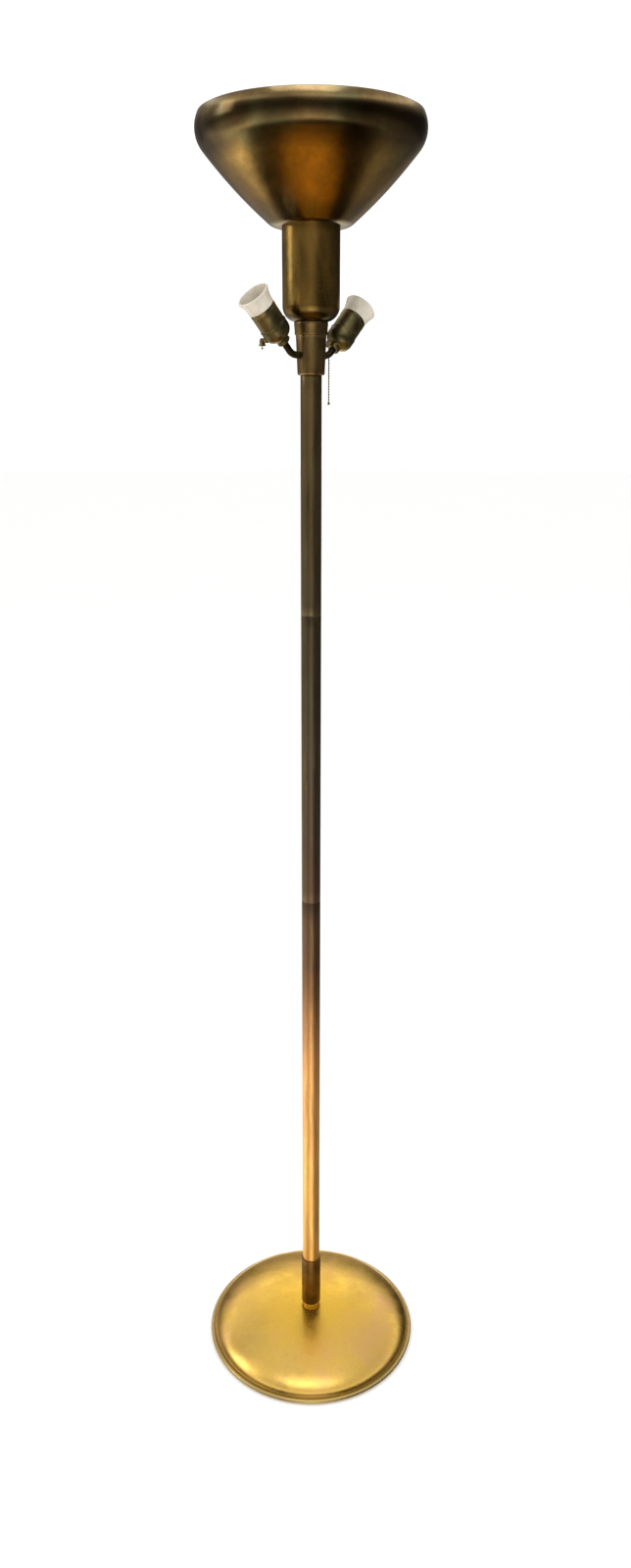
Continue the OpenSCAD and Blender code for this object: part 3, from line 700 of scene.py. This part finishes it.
def bowl_clamp_ring():
    z, top, r = low("bowl_clamp_ring").z, high("bowl_clamp_ring").z, radius("bowl_clamp_ring")
    corners = [(BOWL_HOLE, z), (r, z), (r, top, 0.8 * MM), (BOWL_HOLE, top, 0.5 * MM)]
    return lathe("bowl_clamp_ring_turned", rounded(corners))


# ---------- screws, threads and chains ----------

def slotted_screw(name, shaft_r, length, head_r, head_h, slot_w):
    """A round-head screw along +Z, its head's underside at 0 and its shaft below."""
    bevel, steps = 0.3 * MM, 10
    dome = [(head_r * math.cos(a), head_h * math.sin(a))
            for a in (math.radians(6 + 84 * i / steps) for i in range(steps))]
    outline = [(0, -length), (shaft_r - bevel, -length), (shaft_r, -length + bevel),
               (shaft_r, 0), (head_r, 0)] + dome + [(0, head_h)]
    screw = lathe(name, outline, steps=48, closed=False)
    bpy.ops.mesh.primitive_cube_add(size=1, location=(0, 0, head_h))
    cutter = bpy.context.object
    cutter.scale = (head_r * 3, slot_w, head_h * 1.1)
    cut = screw.modifiers.new("slot", "BOOLEAN")
    cut.operation = "DIFFERENCE"
    cut.object = cutter
    bpy.context.view_layer.objects.active = screw
    bpy.ops.object.modifier_apply(modifier="slot")
    bpy.data.objects.remove(cutter)
    return screw


def threaded_shell(name, r, depth, pitch, start, end, wall, floor_r):
    """A rolled screw shell: a thin wall that waves in a helix, with a turned-in floor."""
    sides, rows_a_turn = 96, 12
    rows = int((end - start) / pitch * rows_a_turn)
    turns = [2 * math.pi * k / sides for k in range(sides)]
    bm = bmesh.new()

    def wave(a, z, offset):
        fade = min(1.0, (z - start) / pitch, (end - z) / pitch)
        return r + offset + depth * fade * math.cos(2 * math.pi * z / pitch - a)

    def ring_of(radii, z):
        return [bm.verts.new((out * math.cos(a), out * math.sin(a), z))
                for out, a in zip(radii, turns)]

    def wall_ring(z, offset):
        return ring_of([wave(a, z, offset) for a in turns], z)

    def flat_ring(out, z):
        return ring_of([out] * sides, z)

    heights = [start + (end - start) * i / rows for i in range(rows + 1)]
    rings = [wall_ring(z, 0) for z in heights]
    rings += [wall_ring(z, wall) for z in heights[::-1]]
    rings += [flat_ring(floor_r, start - wall), flat_ring(floor_r, start)]
    for i, ring in enumerate(rings):
        after = rings[(i + 1) % len(rings)]
        for k in range(sides):
            n = (k + 1) % sides
            bm.faces.new((ring[k], ring[n], after[n], after[k]))
    return finish_mesh(name, bm)


def bead_chain(name, x, y, top, beads, link_up=0.0, link_down=0.0, end_bell=False):
    """Hollow beads on a wire, which goes on by link_up and link_down past the middles of the end
    beads. The first bead's middle is at height top. The beads differ a little in size and turn,
    and are all smaller than the CAD's."""
    bm = bmesh.new()
    for i in range(beads):
        size = BEAD_R * (0.965 + 0.02 * math.sin(i * 2.4))
        matrix = Matrix.Translation((x, y, top - i * BEAD_PITCH)) @ Matrix.Rotation(i * 1.9, 4, "Z")
        bmesh.ops.create_uvsphere(bm, u_segments=24, v_segments=14, radius=size, matrix=matrix)
    last = top - (beads - 1) * BEAD_PITCH
    high_end, low_end = top + link_up, last - link_down
    middle, length = (high_end + low_end) / 2, high_end - low_end
    bmesh.ops.create_cone(bm, cap_ends=True, segments=12, radius1=WIRE_R, radius2=WIRE_R,
                          depth=length, matrix=Matrix.Translation((x, y, middle)))
    chain = finish_mesh(name, bm)
    if end_bell:
        corners = [(0, -3), (1.7, -3, 0.3), (1.6, -2, 0.8), (1.05, 0.3, 0.4), (0, 0.6)]
        bell = lathe(name + "_bell", rounded_mm(corners), steps=32, closed=False)
        move(bell, Matrix.Translation((x, y, last)))
        chain = join(name, [chain, bell])
    return chain


# ---------- side sockets ----------

def socket_cap(name):
    """The cap: a hub round the arm, a round shoulder, and a skirt over the shell."""
    bore, hub, skirt, bead, lap = 4, 7.4, 16.2, 16.5, 15.7
    shoulder, shoulder_r, wall = (5.2, 17), 11, 0.8
    corners = [(bore, 0), (6.7, 0, 0.4), (hub, 0.8, 0.5), (hub, 5.2, 0.6)]
    corners += arc(shoulder, shoulder_r, -66, -4, 18)
    corners += [(skirt, 19.5), (skirt, 22.6, 0.3), (bead, 23.3, 0.4), (bead, CAP_END, 0.3),
                (lap, CAP_END), (lap, SHELL_START), (15.4, 17)]
    corners += arc(shoulder, shoulder_r - wall, -6, -60, 12) + [(bore, 8)]
    return lathe(name, rounded_mm(corners), steps=96, wobble=0.06 * MM, wobble_scale=90.0)


def socket_shell(name):
    """The drawn shell, with a groove under the cap and a bead near the collar."""
    bore, side, groove, bead = 15.05, 15.65, 15.4, 15.9
    corners = [(bore, SHELL_START), (side, SHELL_START), (side, 25.2, 0.3), (groove, 25.8, 0.4),
               (groove, 26.6, 0.4), (side, 27.2, 0.3), (side, 42.6, 0.3), (bead, 43.2, 0.4),
               (bead, 44.4, 0.4), (side, 45, 0.3), (side, SHELL_END, 0.2), (bore, SHELL_END)]
    return lathe(name, rounded_mm(corners), steps=96, wobble=0.08 * MM, wobble_scale=80.0)


def porcelain_collar(name):
    """The collar: a spigot down inside the shell, and a flared rim."""
    seat, spigot, spigot_z, side, throat = 13.66, 14.4, 43.5, 15.9, 13.9
    corners = [(seat, spigot_z), (spigot, spigot_z), (spigot, SHELL_END), (15.6, SHELL_END, 0.3),
               (side, 48.8, 0.6), (side, 52.5, 2.5), (16.6, 56.8, 2.5), (17.8, 60.6, 1.5)]
    corners += arc((17.9, 64.7), 1.3, -25, 165, 14)
    corners += [(15.6, 60.5, 2.0), (14.5, 54.5, 2.0), (throat, 49.4, 0.6), (throat, SHELL_END),
                (seat, SHELL_END)]
    return lathe(name, rounded_mm(corners), steps=128, wobble=0.10 * MM, wobble_scale=70.0)


def level_out(matrix, x, y, z):
    """The matrix that lays a piece's +Z along the line out of a socket's axis to a point, and
    the point's distance from the axis."""
    local = matrix.inverted() @ Vector((x, y, z))
    turn = Matrix.Rotation(math.atan2(local.y, local.x), 4, "Z")
    lie = turn @ Matrix.Translation((0, 0, local.z)) @ Matrix.Rotation(math.radians(90), 4, "Y")
    return matrix @ lie, math.hypot(local.x, local.y)


def chain_outlet(name, matrix, x, y, z):
    """A short tube out of the cap, and a plumb bell at its end for the chain. The tube ends
    short of the bell's cavity, so that the chain can move in it."""
    lie, reach = level_out(matrix, x, y, z)
    bore, side, flange, start, end = 1.8, 3.0, 4.3, 13, reach / MM - 2.6
    corners = [(bore, start), (side, start), (side, 15.4), (flange, 15.5, 0.3),
               (flange, 16.6, 0.4), (side, 17.0), (side, end), (bore, end)]
    pipe = move(lathe(name + "_pipe", rounded_mm(corners), steps=48), lie)
    cavity, crown, roof, wire_hole = 1.9, 4.0, 3.2, 0.05
    corners = [(3.5, -4.5), (4.2, -4.5, 0.3), (4.1, -3.8, 0.4), (3.3, -1.9, 1.0), (3.1, 2.6, 0.8),
               (2.2, crown, 0.8), (wire_hole, crown), (wire_hole, roof), (cavity, roof),
               (cavity, -1.7, 0.8)]
    bell = lathe(name + "_bell", rounded_mm(corners), steps=48)
    move(bell, Matrix.Translation((x, y, z)))
    return join(name, [pipe, bell])


def arm(side, matrix):
    """The bent arm tube, drawn in its own upright plane and then turned to its side."""
    cap_end = matrix.translation
    turn = math.atan2(cap_end.y, cap_end.x)
    axis = matrix.to_3x3() @ Vector((0, 0, 1))
    rise_angle = math.asin(axis.z)
    reach = math.hypot(cap_end.x, cap_end.y)
    root_z = low("arm_locknuts").z + (high("arm_locknuts").z - low("arm_locknuts").z) / 2
    root, bend, bend_steps = 11 * MM, 15 * MM, 16
    tail = 7 * MM  # how far it goes on inside the cap
    run = (cap_end.z - root_z - bend * (1 - math.cos(rise_angle))) / math.sin(rise_angle)
    start = reach - bend * math.sin(rise_angle) - run * math.cos(rise_angle)
    path = [Vector((root, 0, root_z))]
    for i in range(bend_steps + 1):
        a = rise_angle * i / bend_steps
        path.append(Vector((start + bend * math.sin(a), 0, root_z + bend * (1 - math.cos(a)))))
    path.append(Vector((reach + tail * math.cos(rise_angle), 0,
                        cap_end.z + tail * math.sin(rise_angle))))
    piece = tube(side + "_arm_bent", path, outer=4 * MM, inner=2.8 * MM)
    return move(piece, Matrix.Rotation(turn, 4, "Z"))


def side_socket(side, material):
    """One side socket with its arm. Returns where its chain hangs: x, y and the first bead."""
    matrix = socket_frame(side + "_lampholder")

    def put(piece, look, *nodes):
        place(move(piece, matrix), material[look], ROOT, *nodes)

    put(socket_cap(side + "_cap_spun"), "socket", side + "_cap")
    put(socket_shell(side + "_shell_drawn"), "socket", side + "_shell")
    put(porcelain_collar(side + "_collar_glazed"), "collar", side + "_collar")
    thread = threaded_shell(side + "_screw_shell_rolled", r=13.15 * MM, depth=0.3 * MM,
                            pitch=3.63 * MM, start=26.5 * MM, end=SHELL_END * MM,
                            wall=0.3 * MM, floor_r=8 * MM)
    put(thread, "nickel", side + "_screw_shell")
    place(arm(side, matrix), material["arm"], ROOT, side + "_arm")

    top_chain = side + "_chain" if side == "left" else side + "_chain_top"
    x, y = ((low(top_chain) + high(top_chain)) / 2)[:2]
    first_bead = high(top_chain).z - BEAD_R
    bell_z = first_bead - 2 * MM
    outlet = chain_outlet(side + "_outlet_turned", matrix, x, y, bell_z)
    place(outlet, material["outlet"], ROOT, side + "_chain_outlet")

    local = matrix.inverted() @ ((low(side + "_set_screw") + high(side + "_set_screw")) / 2)
    hub, screw_z = 7.4 * MM, 3.2 * MM
    screw = slotted_screw(side + "_set_screw_slotted", shaft_r=1.2 * MM, length=3.4 * MM,
                          head_r=2.1 * MM, head_h=1.5 * MM, slot_w=0.5 * MM)
    turn = Matrix.Rotation(math.atan2(local.y, local.x), 4, "Z")
    stand = turn @ Matrix.Translation((hub, 0, screw_z))
    move(screw, matrix @ stand @ Matrix.Rotation(math.radians(90), 4, "Y"))
    place(screw, material["outlet"], ROOT, side + "_set_screw")
    return x, y, first_bead


def chains(material, left, right):
    """The left stub, the right-hand chain's two beads in its bell, and its swinging length."""
    link, left_beads, upper_beads, end_bell_h = 1 * MM, 4, 2, 3 * MM
    x, y, top = left
    stub = bead_chain("left_chain_stub", x, y, top, left_beads, link_up=link, link_down=1.2 * MM)
    place(stub, material["chain"], "left_pull", "left_chain")
    x, y, top = right
    upper = bead_chain("right_chain_in_bell", x, y, top, upper_beads, link_up=link,
                       link_down=1.4 * MM)
    place(upper, material["chain"], "right_pull", "right_chain_top")
    last = round((top - end_bell_h - low("right_chain").z) / BEAD_PITCH)
    lower = bead_chain("right_chain_beads", x, y, top - upper_beads * BEAD_PITCH,
                       last + 1 - upper_beads, link_up=1.3 * MM, end_bell=True)
    place(lower, material["chain"], "right_chain_length", "right_chain")


def mogul(material):
    node = "mogul_screw_shell"
    z, top = low(node).z, high(node).z
    shell = threaded_shell("mogul_shell_rolled", r=19.9 * MM, depth=0.45 * MM,
                           pitch=6.35 * MM, start=z + 0.8 * MM, end=top, wall=0.35 * MM,
                           floor_r=9 * MM)
    place(shell, material["contact"], ROOT, node)


def bowl_screws(material):
    """Three screws on a circle, each with its slot turned its own way."""
    head_z, circle = high("bowl_clamp_ring").z, 29.5 * MM
    length = head_z - low("bowl_screws").z
    parts = []
    for i in range(3):
        a = math.radians(30 + 120 * i)
        screw = slotted_screw(f"bowl_screw_{i}", shaft_r=1.6 * MM, length=length,
                              head_r=3.1 * MM, head_h=2.2 * MM, slot_w=0.8 * MM)
        turn = Matrix.Rotation(a * 2.3, 4, "Z")
        spot = Matrix.Translation((circle * math.cos(a), circle * math.sin(a), head_z))
        parts.append(move(screw, spot @ turn))
    place(join("bowl_screws_slotted", parts), material["steel"], ROOT, "bowl_screws")


def paint_frame(material):
    """Materials for the frame's own nodes that stay as they are."""
    looks = {
        "base_felt": "felt", "base_weight": "iron", "cord_bushing": "bakelite", "leads": "cover",
        "mogul_porcelain": "porcelain", "left_switch_block": "porcelain",
        "right_switch_block": "porcelain", "left_liner": "fibre", "right_liner": "fibre",
        "left_contact": "contact", "right_contact": "contact", "mogul_center_contact": "contact",
        "mogul_terminal_screws": "contact", "mogul_bracket": "contact", "bowl_fitter_ring": "plain",
        "lower_coupling": "plain", "upper_coupling": "plain",
    }
    for node, piece in frame["nodes"].items():
        piece.data.materials.clear()
        piece.data.materials.append(material[looks.get(node, "steel")])


# ---------- studio ----------

def make_camera():
    data = bpy.data.cameras.new("camera")
    data.sensor_width, data.lens = CAMERA_SENSOR, CAMERA_LENS
    data.shift_x = CAMERA_SHIFT
    data.clip_end = CAMERA_FAR
    camera = bpy.data.objects.new("camera", data)
    camera.location = CAMERA_PLACE
    camera.rotation_euler = (math.radians(90 - CAMERA_DIP), 0, 0)
    bpy.context.collection.objects.link(camera)
    bpy.context.scene.camera = camera


def area_light(name, place_at, aim, size, power, colour=(1, 1, 1)):
    data = bpy.data.lights.new(name, "AREA")
    data.shape = "RECTANGLE"
    data.size, data.size_y = size
    data.energy = power
    data.color = colour
    light = bpy.data.objects.new(name, data)
    light.location = place_at
    light.rotation_euler = (Vector(aim) - Vector(place_at)).to_track_quat("-Z", "Y").to_euler()
    bpy.context.collection.objects.link(light)


def make_world():
    """White behind the lamp and an even white on dull surfaces. What is glossy sees a plain
    room instead, which is lit from above and below and mostly from the left and the middle."""
    world = bpy.data.worlds.new("studio")
    bpy.context.scene.world = world
    world.use_nodes = True
    world.cycles.sampling_method = "NONE"
    tree = world.node_tree
    tree.nodes.clear()

    def add(kind, **values):
        return add_node(tree, kind, **values)

    split = add("ShaderNodeSeparateXYZ")
    tree.links.new(add("ShaderNodeTexCoord").outputs["Generated"], split.inputs[0])

    def across(axis, stops):
        """A ramp from -1 to 1 along one axis of the direction looked in."""
        spread = add("ShaderNodeMapRange")
        spread.inputs["From Min"].default_value = -1
        tree.links.new(split.outputs[axis], spread.inputs["Value"])
        ramp = add("ShaderNodeValToRGB")
        set_stops(ramp.color_ramp, stops)
        tree.links.new(spread.outputs["Result"], ramp.inputs["Fac"])
        return ramp.outputs["Color"]

    rise = across("Z", ROOM_RISE)
    sideways = across("X", ROOM_SIDEWAYS)
    overhead = across("Z", ROOM_OVERHEAD)
    even = add("ShaderNodeMix", data_type="RGBA")
    tree.links.new(overhead, even.inputs[0])
    tree.links.new(sideways, even.inputs[6])
    even.inputs[7].default_value = (1, 1, 1, 1)
    product = add("ShaderNodeMix", data_type="RGBA", blend_type="MULTIPLY")
    product.inputs[0].default_value = 1
    tree.links.new(rise, product.inputs[6])
    tree.links.new(even.outputs[2], product.inputs[7])
    room = add("ShaderNodeBackground")
    tree.links.new(product.outputs[2], room.inputs["Color"])
    white = add("ShaderNodeBackground")
    white.inputs["Color"].default_value = (1, 1, 1, 1)
    white.inputs["Strength"].default_value = WHITE_STRENGTH
    path = add("ShaderNodeLightPath")
    mix = add("ShaderNodeMixShader")
    tree.links.new(path.outputs["Is Glossy Ray"], mix.inputs[0])
    tree.links.new(white.outputs[0], mix.inputs[1])
    tree.links.new(room.outputs[0], mix.inputs[2])
    out = add("ShaderNodeOutputWorld")
    tree.links.new(mix.outputs[0], out.inputs["Surface"])


def make_floor():
    """A wide pale disc just under the lamp, which the metal doesn't reflect."""
    bm = bmesh.new()
    bmesh.ops.create_circle(bm, cap_ends=True, segments=96, radius=FLOOR_RADIUS)
    floor = finish_mesh("floor", bm)
    floor.location.z = FLOOR_Z
    m = Nodes("pale_floor", metallic=0.0, roughness=0.9)
    m.colour(m.mix(m.noise(1.5, 3.0, 0.5), (0.88, 0.88, 0.875), (0.90, 0.90, 0.895)))
    floor.data.materials.append(m.material)
    floor.visible_glossy = False


def light_the_room():
    area_light("key", place_at=(-2.9, 0.1, 2.5), aim=(0, 0, 1.2), size=(1.0, 1.4), power=14,
               colour=(1.0, 0.96, 0.90))
    area_light("top", place_at=(-0.1, -1.0, 3.4), aim=(0, -0.1, 0), size=(1.9, 1.1), power=14)


# ---------- the lamp ----------

def build():
    material = make_materials()
    paint_frame(material)
    place(base_shell(), material["base"], ROOT, "base_shell")
    place(seating_ring(), material["ring"], ROOT, "seating_ring")
    place(foot_sleeve(), material["sleeve"], ROOT, "foot_sleeve")
    for node in ("lower_tube", "middle_tube", "upper_tube"):
        place(column_tube(node), material["column"], ROOT, node)
    place(cluster_body(), material["neck"], ROOT, "cluster_body")
    place(cluster_cap(), material["neck"], ROOT, "cluster_cap")
    place(neck_collar(), material["neck"], ROOT, "neck_collar")
    place(husk(), material["husk"], ROOT, "husk")
    place(bowl(), material["bowl"], ROOT, "bowl")
    place(bowl_clamp_ring(), material["plain"], ROOT, "bowl_clamp_ring")
    bowl_screws(material)
    mogul(material)
    left = side_socket("left", material)
    right = side_socket("right", material)
    chains(material, left, right)


make_camera()
make_world()
make_floor()
light_the_room()
bpy.context.scene.view_settings.view_transform = "Standard"
build()
